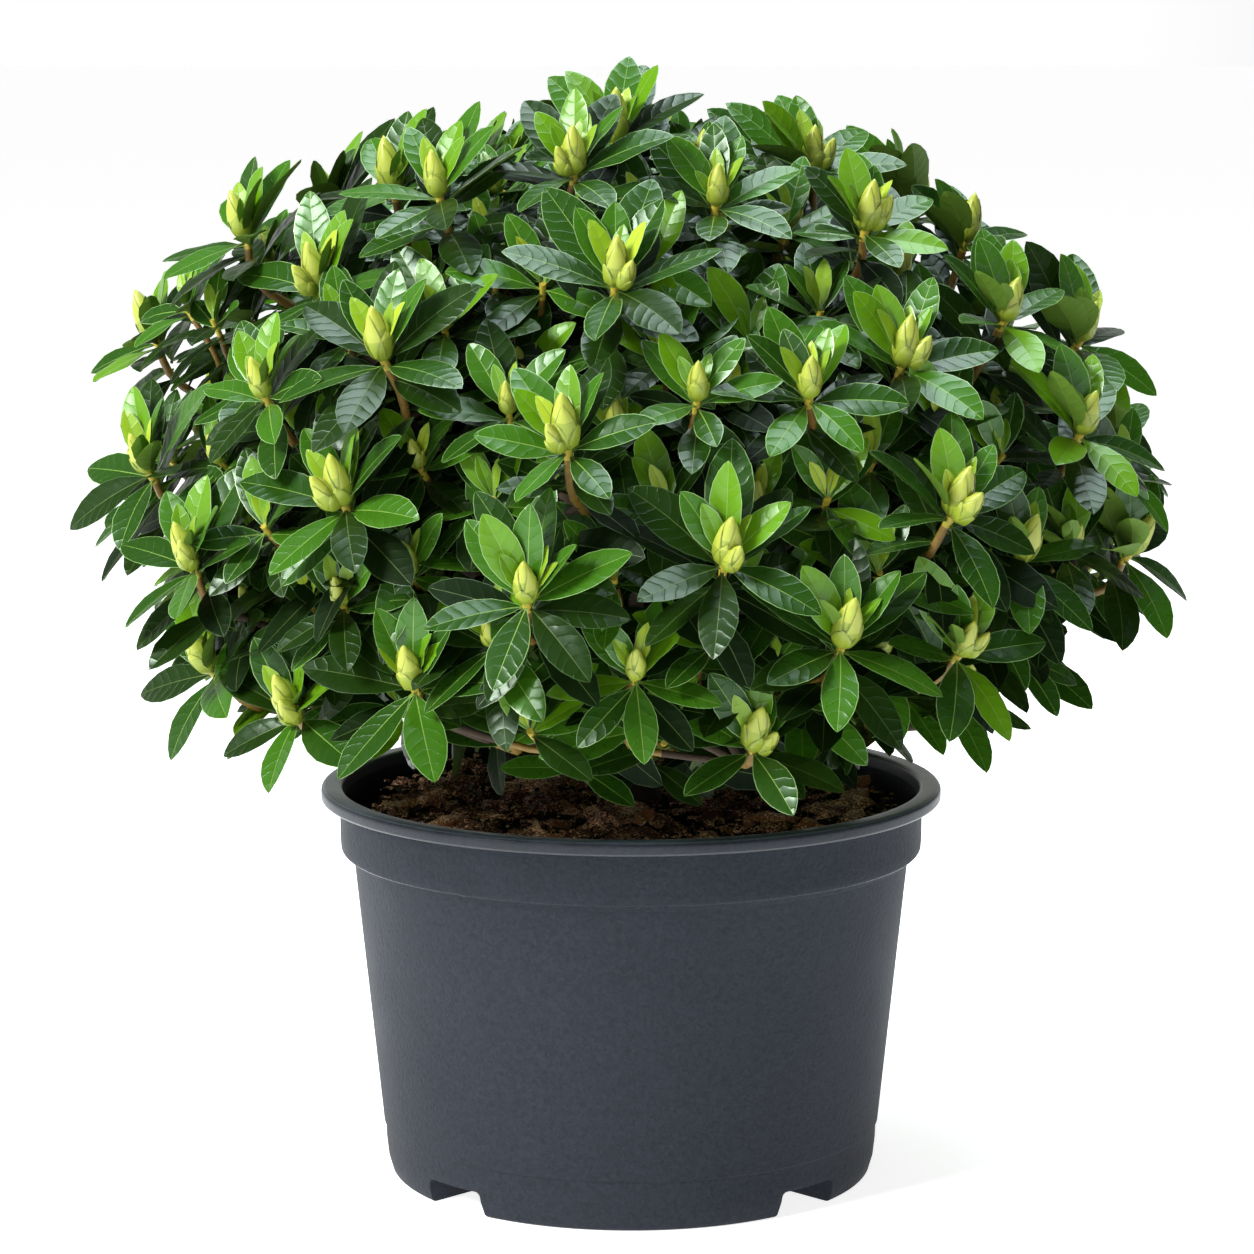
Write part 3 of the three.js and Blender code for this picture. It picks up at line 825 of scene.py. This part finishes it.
class LeafShape:
    """The rows of points along a leaf, its outline there, and the faces between them."""

    ROW = 10  # points in a row: eight across its face and two under its midrib

    def __init__(self, shares):
        self.shares = np.array(shares)
        blade = np.clip((self.shares - 0.05) / 0.95, 0, 1)
        outline = blade**0.95 * (1 - blade) ** 0.8
        self.outline = outline / outline.max()
        self.faces, self.parts = [], []
        for row in range(len(shares) - 1):
            left, right = row * self.ROW, row * self.ROW + 7
            under, up = right + 1, self.ROW  # the first point under the midrib, and a row's step
            for column in range(7):
                a = left + column
                self.faces.append([a, a + 1, a + 1 + up, a + up])
                self.parts.append(
                    "rib" if row == 0 or column == 3 else "margin" if column in (0, 6) else "blade"
                )
            for a, b in ((left, under), (under, under + 1), (under + 1, right)):
                self.faces.append([a, a + up, b + up, b])
            self.parts += ["under", "rib", "under"]
        last, tip = (len(shares) - 1) * self.ROW, len(shares) * self.ROW
        self.faces += [[last + column, last + column + 1, tip] for column in range(7)]
        self.parts += ["margin", "blade", "blade", "rib", "blade", "blade", "margin"]
        self.faces += [[last + a, tip, last + b] for a, b in ((0, 8), (8, 9), (9, 7))]
        self.faces.append([0, 8, 9, 7, 6, 5, 4, 3, 2, 1])
        self.parts += ["under", "rib", "under", "rib"]

    def points(self, root, axis, out, tilt, bend, length, width, fold, roll, wave):
        """Its points where it leaves a shoot's axis at a tilt and bends on further out."""
        shares = np.append(self.shares, 1)
        angles = np.radians(tilt + bend * (shares - 0.15))
        a, o = np.array(axis), np.array(out)
        tangents = np.outer(np.cos(angles), a) + np.outer(np.sin(angles), o)
        uppers = np.outer(np.sin(angles), a) - np.outer(np.cos(angles), o)
        steps = np.diff(shares, prepend=0)[:, None] * length
        spine = np.array(root) + np.cumsum(steps * tangents, axis=0)
        spin = math.radians(roll) * np.minimum(1, shares * 3)[:, None]
        side = np.cross(a, o)
        acrosses = np.cos(spin) * side + np.sin(spin) * uppers
        uppers = np.cos(spin) * uppers - np.sin(spin) * side
        half = np.maximum(self.outline * width / 2, STALK_WIDTH / 2)
        rib = np.minimum(RIB_WIDTH / 2 * (1.3 - 0.9 * self.shares), half * 0.55)
        inner = np.maximum(half - MARGIN_WIDTH, half * 0.72)
        quarter = rib + (inner - rib) * 0.5
        columns = np.stack([-half, -inner, -quarter, -rib, rib, quarter, inner, half], axis=1)
        lift = np.abs(columns) * math.tan(math.radians(fold)) - 0.13 * columns**2 / half[:, None]
        lift += wave * np.sin(self.shares * 9 + wave * 7)[:, None] * (columns / half.max()) ** 2
        lift[:, 3:5] -= 0.12
        rows = np.empty((len(self.shares), self.ROW, 3))
        rows[:, :8] = (
            spine[:-1, None]
            + columns[:, :, None] * acrosses[:-1, None]
            + lift[:, :, None] * uppers[:-1, None]
        )
        for column, side in ((8, -1), (9, 1)):
            beneath = side * rib[:, None] * acrosses[:-1] - 0.95 * uppers[:-1]
            rows[:, column] = spine[:-1] + beneath
        surface = np.zeros((len(self.shares), self.ROW, 2))
        surface[:, :8, 0] = columns
        surface[:, :, 1] = (self.shares * length)[:, None]
        points = np.append(rows.reshape(-1, 3), [spine[-1] - uppers[-1] * 0.3], axis=0)
        return points, np.append(surface.reshape(-1, 2), [[0, length]], axis=0)


OUTER_LEAF = LeafShape([0, 0.06, 0.16, 0.3, 0.46, 0.62, 0.77, 0.89, 0.965])
INNER_LEAF = LeafShape([0, 0.1, 0.28, 0.52, 0.76, 0.93])


# A leathery evergreen blade: waxy and quite glossy, with the flesh raised between side veins that
# run out from the midrib and curve on towards the tip, about six millimetres apart.
def blade_material(name, colour, roughness, vein_height, shine=0.48):
    material, shader = new_material(name)
    shader.inputs["Base Color"].default_value = linear(colour)
    shader.inputs["IOR"].default_value = 1.45
    shader.inputs["Specular IOR Level"].default_value = shine
    shader.inputs["Specular Tint"].default_value = (0.82, 1, 0.88, 1)
    flat_map = add_node(material, "ShaderNodeUVMap", uv_map="surface").outputs["UV"]
    uneven = add_node(
        material, "ShaderNodeTexNoise", {"Vector": flat_map, "Scale": 1 / (9 * MM), "Detail": 2}
    )
    parts = add_node(material, "ShaderNodeSeparateXYZ", {"Vector": flat_map})
    aside = add_node(material, "ShaderNodeMath", {0: parts.outputs["X"]}, operation="ABSOLUTE")
    bow = add_node(
        material,
        "ShaderNodeMath",
        {0: aside.outputs["Value"], 1: -0.05 / MM, 2: -0.3},
        operation="MULTIPLY_ADD",
    )
    course = add_node(
        material,
        "ShaderNodeMath",
        {0: aside.outputs["Value"], 1: bow.outputs["Value"], 2: parts.outputs["Y"]},
        operation="MULTIPLY_ADD",
    )
    strayed = add_node(
        material,
        "ShaderNodeMath",
        {0: uneven.outputs["Fac"], 1: 6 * MM, 2: course.outputs["Value"]},
        operation="MULTIPLY_ADD",
    )
    turns = add_node(
        material,
        "ShaderNodeMath",
        {0: strayed.outputs["Value"], 1: math.pi / (VEIN_SPACING * MM)},
        operation="MULTIPLY",
    )
    swell = add_node(material, "ShaderNodeMath", {0: turns.outputs["Value"]}, operation="SINE")
    folds = add_node(material, "ShaderNodeMath", {0: swell.outputs["Value"]}, operation="ABSOLUTE")
    flesh = add_node(
        material, "ShaderNodeMath", {0: folds.outputs["Value"], 1: 0.42}, operation="POWER"
    )
    puckers = add_node(
        material,
        "ShaderNodeMath",
        {0: uneven.outputs["Fac"], 1: flesh.outputs["Value"]},
        operation="ADD",
    )
    veins = add_node(
        material,
        "ShaderNodeBump",
        {"Height": puckers.outputs["Value"], "Strength": 0.75, "Distance": vein_height * MM},
    )
    wax = add_node(
        material,
        "ShaderNodeMapRange",
        {"Value": uneven.outputs["Fac"], "To Min": roughness - 0.08, "To Max": roughness + 0.08},
    )
    material.node_tree.links.new(veins.outputs["Normal"], shader.inputs["Normal"])
    material.node_tree.links.new(wax.outputs["Result"], shader.inputs["Roughness"])
    return material


leaf_finishes = {
    # The shade finish is a near-black green for leaves deep in the crown: painted shade.
    "shade": blade_material("painted_shade_inner_leaf", "#0c1c04", 0.5, 0.2, 0.12),
    "deep": blade_material("bottle_green_old_leaf", "#162c05", 0.3, 0.26, 0.4),
    "dark": blade_material("dark_green_leaf", "#20410b", 0.29, 0.25),
    "full": blade_material("full_green_leaf", "#315c0e", 0.29, 0.24),
    "fresh": blade_material("fresh_green_leaf", "#517d07", 0.31, 0.2),
    "young": blade_material("young_yellow_green_leaf", "#729214", 0.38, 0.2),
    "lime": blade_material("lime_green_leaf_at_bud", "#97ac26", 0.38, 0.16),
    "under": blade_material("dull_leaf_underside", "#587627", 0.55, 0.2, 0.25),
}
for name, title, hue, rough in [
    ("rib", "pale_leaf_midrib_and_stalk", "#688837", 0.45),
    # The margin is a little paler than the blade, and paler still as a painted highlight for the bright leaf
    # edges.
    ("margin", "pale_leaf_margin_and_painted_highlight", "#78985e", 0.3),
    # Darker midribs and margins for old leaves and, as painted shade, for leaves in the crown's depths.
    ("dull_rib", "old_and_painted_shade_leaf_midrib", "#3f5420", 0.5),
    ("dull_margin", "old_and_painted_shade_leaf_margin", "#35502a", 0.4),
]:
    material, shader = new_material(title)
    shader.inputs["Base Color"].default_value = linear(hue)
    shader.inputs["Roughness"].default_value = rough
    leaf_finishes[name] = material
FINISH_INDEX = {name: index for index, name in enumerate(leaf_finishes)}

# Leaves in the crown's depths and low on the twigs take these tones; the shade tone is painted shade.
SHADED = [("shade", 0.7), ("deep", 0.3)]
OLD_AND_SHADED = [("shade", 0.3), ("deep", 0.5), ("dark", 0.2)]
BARE = 9  # a shoot with room for fewer leaves than this has dropped off
GROWN = [("deep", 0.22), ("dark", 0.45), ("full", 0.28), ("fresh", 0.05)]
UPPER = [("dark", 0.2), ("full", 0.4), ("fresh", 0.4)]
NEWEST = [("fresh", 0.2), ("young", 0.55), ("lime", 0.25)]


def pick(chance, choices):
    """One of several names, each with its share of the chances."""
    spot = next(chance)
    for name, share in choices:
        spot -= share
        if spot < 0:
            return name
    return choices[-1][0]


def leaf_looks(shape, tone):
    """A finish for each face of a leaf of a tone. Old and shade-finish leaves get dark midribs and margins,
    partly painted shade.
    """
    dull = {"rib": "dull_rib", "margin": "dull_margin"} if tone in ("shade", "deep") else {}
    return [FINISH_INDEX[tone if part == "blade" else dull.get(part, part)] for part in shape.parts]


def keeps_clear(points, droop):
    """Whether a leaf stays off the pot and leaves its rim in sight below the crown."""
    radius = np.hypot(points[:, 0], points[:, 1])
    lowest = np.where(radius < RIM_RADIUS + 3, 200, 203 + 0.15 * (radius - RIM_RADIUS)) + droop
    lowest = np.where(radius < RIM_RADIUS - 32, 194, lowest)
    return (points[:, 2] > lowest).all()


class Whorl:
    """The frame in which leaves stand round an axis: 0 is its inner side and 180 its outer."""

    def __init__(self, shoot, axis):
        self.shoot, self.axis = shoot, axis
        away = Vector((shoot.direction.x, shoot.direction.y, 0))
        away += Vector((shoot.across.x, shoot.across.y, 0)) * 0.05
        self.back = -(away - self.axis * self.axis.dot(away)).normalized()
        self.side = self.axis.cross(self.back)

    def add_leaf(self, shape, along, bearing, tilt, length, ratio, tones, droop=0):
        """Add a leaf whose tilt is for its bearing, or leave it off where there is no room."""
        chance = self.shoot.chance
        angle = math.radians(bearing)
        out = self.back * math.cos(angle) + self.side * math.sin(angle)
        tilt *= 71 - 60 * max(0, self.axis.z - 0.8) - 8 * out.z - 12 * math.cos(angle)
        root = self.shoot.base + self.axis * along + out * 0.9
        upper = self.axis * math.sin(math.radians(tilt)) - out * math.cos(math.radians(tilt))
        to_light = math.degrees(math.atan2(-LIGHT.dot(self.axis.cross(out)), LIGHT.dot(upper)))
        roll = max(-48, min(48, 0.6 * to_light)) + 36 * (next(chance) - 0.5)
        wave = 1.5 * (next(chance) - 0.3)
        fold, bend, tone = 8 + 9 * next(chance), 10 + 20 * next(chance), pick(chance, tones)
        for closing in (1, 0.88, 0.76, 0.64):
            points, surface = shape.points(
                root, self.axis, out, tilt * closing, bend, length, length * ratio, fold, roll, wave
            )
            if keeps_clear(points, droop):
                leaf = points, shape.faces, leaf_looks(shape, tone), surface
                self.shoot.leaves.append(leaf)
                return


for mass in masses:
    growth = Growth()
    for shoot in mass.shoots:
        chance = shoot.chance
        whorl, tuft = Whorl(shoot, shoot.axis), Whorl(shoot, shoot.tip_axis)
        full = LEAF_LENGTH * shoot.size * (0.78 + 0.27 * next(chance))
        main = not shoot.side
        count = 6 if main else 5
        turn = 360 * next(chance)
        for i in range(count):
            bearing = turn + 360 / count * i + 22 * (next(chance) - 0.5)
            length = full * (0.96 + 0.07 * math.cos(math.radians(bearing))) * (0.9 + 0.2 * next(chance))
            whorl.add_leaf(
                OUTER_LEAF, -4 + 2 * (i % 2), bearing, 0.97, length, LEAF_RATIO, GROWN, 0 if main else 18
            )
        for i in range(3 if main else 2):
            bearing = (-46, 48, 2)[i] + 26 * (next(chance) - 0.5)
            length = full * (0.7 + 0.2 * next(chance))
            whorl.add_leaf(OUTER_LEAF, 0, bearing, 0.68, length, LEAF_RATIO, UPPER)
        for i in range(3 if main else 2):
            bearing = (-24, 66, -70)[i] + 40 * (next(chance) - 0.5)
            length = full * (0.4 + 0.2 * next(chance))
            tuft.add_leaf(INNER_LEAF, 1.5, bearing, 0.3 + 0.14 * next(chance), length, 0.34, NEWEST)
        # Older leaves lower down the twig, some in the near-black shade finish as painted shade.
        for i in range(4 if main else 2):
            bearing = turn + 30 + 90 * i + 30 * (next(chance) - 0.5)
            length = full * (0.8 + 0.2 * next(chance))
            whorl.add_leaf(OUTER_LEAF, -8 - 3 * i, bearing, 1.08, length, LEAF_RATIO, OLD_AND_SHADED, 28)
        # The lowest leaves, most of them in the near-black shade finish as painted shade.
        for i in range(5 if main else 3):
            bearing = turn + 137.5 * i
            length = full * (0.72 + 0.25 * next(chance))
            whorl.add_leaf(INNER_LEAF, -21 - 7 * i, bearing, 1.14, length, LEAF_RATIO, SHADED, 42)
        for leaf in shoot.leaves if len(shoot.leaves) >= BARE else []:
            growth.add(*leaf)
    piece = growth.join(f"leaves_{mass.name}", leaf_finishes.values())
    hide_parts(f"foliage_{mass.name}")


# ---- Twigs -----------------------------------------------------------------------------------
# Each shoot's twig runs out from the heart of its mass and turns up at its end. The inner part is
# grey-brown; the last stretch is this year's growth, smooth and orange-brown, and still green
# where the leaves stand on it.

TWIG_TURN = 30
TWIG_STEPS = 9

# Young azalea wood: smooth, satin and orange-brown, with faint fine hairs that dull it.
young_wood, shader = new_material("young_orange_brown_wood")
place = add_node(young_wood, "ShaderNodeTexCoord").outputs["Object"]
mottle = add_node(
    young_wood, "ShaderNodeTexNoise", {"Vector": place, "Scale": 1 / (3 * MM), "Detail": 3}
)
colour = add_node(
    young_wood,
    "ShaderNodeMix",
    {"Factor": mottle.outputs["Fac"], "A": linear("#4a380b"), "B": linear("#80641a")},
    data_type="RGBA",
)
young_wood.node_tree.links.new(colour.outputs["Result"], shader.inputs["Base Color"])
shader.inputs["Roughness"].default_value = 0.55

# The newest growth: soft, satin and yellow-green.
green_wood, shader = new_material("soft_green_shoot")
shader.inputs["Base Color"].default_value = linear("#a3942e")
shader.inputs["Roughness"].default_value = 0.5



def twig_turn(shoot):
    """How far under its whorl a twig turns up, which is less where it would hang too low."""
    return max(5, min(TWIG_TURN, shoot.base.z - 226))


twigs = Growth()
for mass in masses:
    for shoot in mass.shoots:
        if len(shoot.leaves) < BARE:
            continue
        turn = shoot.base - shoot.axis * twig_turn(shoot) - shoot.direction * 4
        start = mass.heart
        if shoot.side:
            main = min(
                (other for other in mass.shoots if not other.side),
                key=lambda other: (other.base - shoot.base).length,
                default=None,
            )
            if main and (main.base - shoot.base).length < 85:
                start = main.base - main.axis * twig_turn(main) - main.direction * 4
        shoot.path = [start, turn, shoot.base + shoot.axis * 1.5]
        shares = [i / TWIG_STEPS for i in range(TWIG_STEPS + 1)]
        centres = [through(shoot.path, share) for share in shares]
        thick = 2.5 if not shoot.side else 1.9
        radii = [thick * (1 - 0.25 * share) for share in shares]
        radii[-1] *= 1.15
        add_limb(twigs, centres, radii, 7, [0] * 3 + [1] * 5 + [2], 0.05)
twig_piece = twigs.join("twigs", [old_bark, young_wood, green_wood])


# ---- Inner leaves ----------------------------------------------------------------------------
# Older leaves on the wood inside the crown, in every direction, that close it to sight. Most are
# in the near-black shade finish, which is painted shade.

INNER_LEAVES = 1250
INNER_DEPTH = (70, 150)
FRONT_OPEN = -60  # in front of this place the leaves leave the compost in sight

inner = Growth()
chance = seeded(SEED + 2)
for _ in range(INNER_LEAVES):
    elevation = math.degrees(math.asin(-0.36 + 1.36 * next(chance)))
    direction = outward(360 * next(chance), elevation)
    depth = INNER_DEPTH[0] + (INNER_DEPTH[1] - INNER_DEPTH[0]) * next(chance)
    root = HUB + direction * max(40, crown_reach(direction) - depth)
    toss = Vector([next(chance) - 0.5 for _ in range(3)])
    axis = (direction + UP * 0.6 + toss).normalized()
    out = axis.cross(toss).normalized()
    length = 42 + 14 * next(chance)
    points, surface = INNER_LEAF.points(
        root, axis, out, 60 + 30 * next(chance), 15, length, length * LEAF_RATIO, 10, 0, 0.5
    )
    if keeps_clear(points, 27 if root.y < FRONT_OPEN else 4):
        inner.add(points, INNER_LEAF.faces, leaf_looks(INNER_LEAF, pick(chance, SHADED)), surface)
inner_piece = inner.join("inner_leaves", leaf_finishes.values())


# ---- Buds ------------------------------------------------------------------------------------
# Flower buds, one at the tip of each main shoot and sometimes a smaller one beside it: a pointed
# egg wrapped in overlapping scales, waxy and pale yellow-green, yellower towards the tip.

BUD_LENGTH = 32
BUD_RADIUS = 7.8
BUD_RINGS = np.array([0, 0.09, 0.24, 0.42, 0.6, 0.78, 0.92])
BUD_SIDES = 9
SCALES = [
    # start and end along the bud, bearing, half its width in degrees, standing out
    (0.0, 0.5, 0, 66, 0.75),
    (0.0, 0.56, 150, 66, 0.75),
    (0.0, 0.46, 255, 60, 0.75),
    (0.1, 0.86, 70, 62, 0.4),
    (0.1, 0.84, 200, 62, 0.4),
    (0.1, 0.88, 320, 62, 0.4),
]
SCALE_ROWS = 5
SCALE_COLUMNS = np.array([-1, -0.86, 0, 0.86, 1])


def bud_radius(share):
    """Radius of a bud at a share of its length, over its widest radius."""
    share = np.clip(share, 0, 1)
    return (share + 0.02) ** 0.42 * (1 - share) ** 0.82 / 0.482


def add_bud(growth, base, axis, length, radius, turn):
    """Add a bud: an egg with a pointed tip, and the scales that overlap round it."""
    a = np.array(axis)
    s = np.array(axis.orthogonal().normalized())
    o = np.cross(a, s)

    def spot(share, bearing, out):
        angle = np.radians(bearing + turn)
        ray = np.cos(angle) * s + np.sin(angle) * o
        return np.array(base) + a * share * length + ray * (bud_radius(share) * radius + out)

    points = [spot(share, 360 * j / BUD_SIDES, 0) for share in BUD_RINGS for j in range(BUD_SIDES)]
    points.append(np.array(base) + a * length)
    faces, looks = [], []
    for ring in range(len(BUD_RINGS) - 1):
        for j in range(BUD_SIDES):
            p, q = ring * BUD_SIDES + j, ring * BUD_SIDES + (j + 1) % BUD_SIDES
            faces.append([p, q, q + BUD_SIDES, p + BUD_SIDES])
            looks.append(0 if BUD_RINGS[ring] < 0.5 else 1)
    top = (len(BUD_RINGS) - 1) * BUD_SIDES
    faces += [[top + j, top + (j + 1) % BUD_SIDES, len(points) - 1] for j in range(BUD_SIDES)]
    looks += [1] * BUD_SIDES
    growth.add(np.array(points), faces, looks)
    wide = len(SCALE_COLUMNS)
    for start, end, bearing, spread, out in SCALES:
        points, faces, looks = [], [], []
        for row in range(SCALE_ROWS + 1):
            u = row / SCALE_ROWS
            share = start + (end - start) * u
            reach = spread * (1 - u**2.2) ** 0.7 if u < 1 else 0.5
            for v in SCALE_COLUMNS:
                lift = out * (1 - 0.8 * v**2) * min(1, 3 * u + 0.3) + 0.1
                points.append(spot(share, bearing + v * reach, lift))
        for row in range(SCALE_ROWS):
            tone = 1 if start + (end - start) * row / SCALE_ROWS > 0.4 else 0
            for column in range(wide - 1):
                p = row * wide + column
                faces.append([p, p + 1, p + wide + 1, p + wide])
                looks.append(2 if column in (0, wide - 2) else tone)
        growth.add(np.array(points), faces, looks)


# Bud scales: smooth, waxy and slightly see-through, pale yellow-green with greener thin edges.
bud_finishes = []
for title, hue in [
    ("waxy_green_bud_scale", "#84942a"),
    ("waxy_yellow_bud_tip", "#9aa43a"),
    ("bud_scale_edge", "#687724"),
]:
    material, shader = new_material(title)
    shader.inputs["Base Color"].default_value = linear(hue)
    shader.inputs["Roughness"].default_value = 0.42
    shader.inputs["Subsurface Weight"].default_value = 0.06
    shader.inputs["Subsurface Radius"].default_value = (1.2 * MM, 1.5 * MM, 0.4 * MM)
    bud_finishes.append(material)

buds = Growth()
for index, shoot in enumerate(shoot for mass in masses for shoot in mass.shoots):
    chance = seeded(SEED + 1543 * (index + 1))
    next(chance)
    if len(shoot.leaves) < BARE or (shoot.side and next(chance) > 0.4):
        continue
    scale = (0.46 if shoot.side else 0.62) * (1 + 0.36 * next(chance))
    axis = shoot.tip_axis
    add_bud(
        buds, shoot.base, axis, BUD_LENGTH * scale, BUD_RADIUS * scale, 360 * next(chance)
    )
    if not shoot.side and next(chance) < 0.4:
        swing = math.radians(110 + 140 * next(chance))
        whorl = Whorl(shoot, axis)
        lean = whorl.back * math.cos(swing) + whorl.side * math.sin(swing)
        small = scale * (0.6 + 0.25 * next(chance))
        tipped = (axis + lean * 0.4).normalized()
        add_bud(buds, shoot.base + lean * 3.5, tipped, BUD_LENGTH * small, BUD_RADIUS * small, 0)
bud_piece = buds.join("flower_buds", bud_finishes)
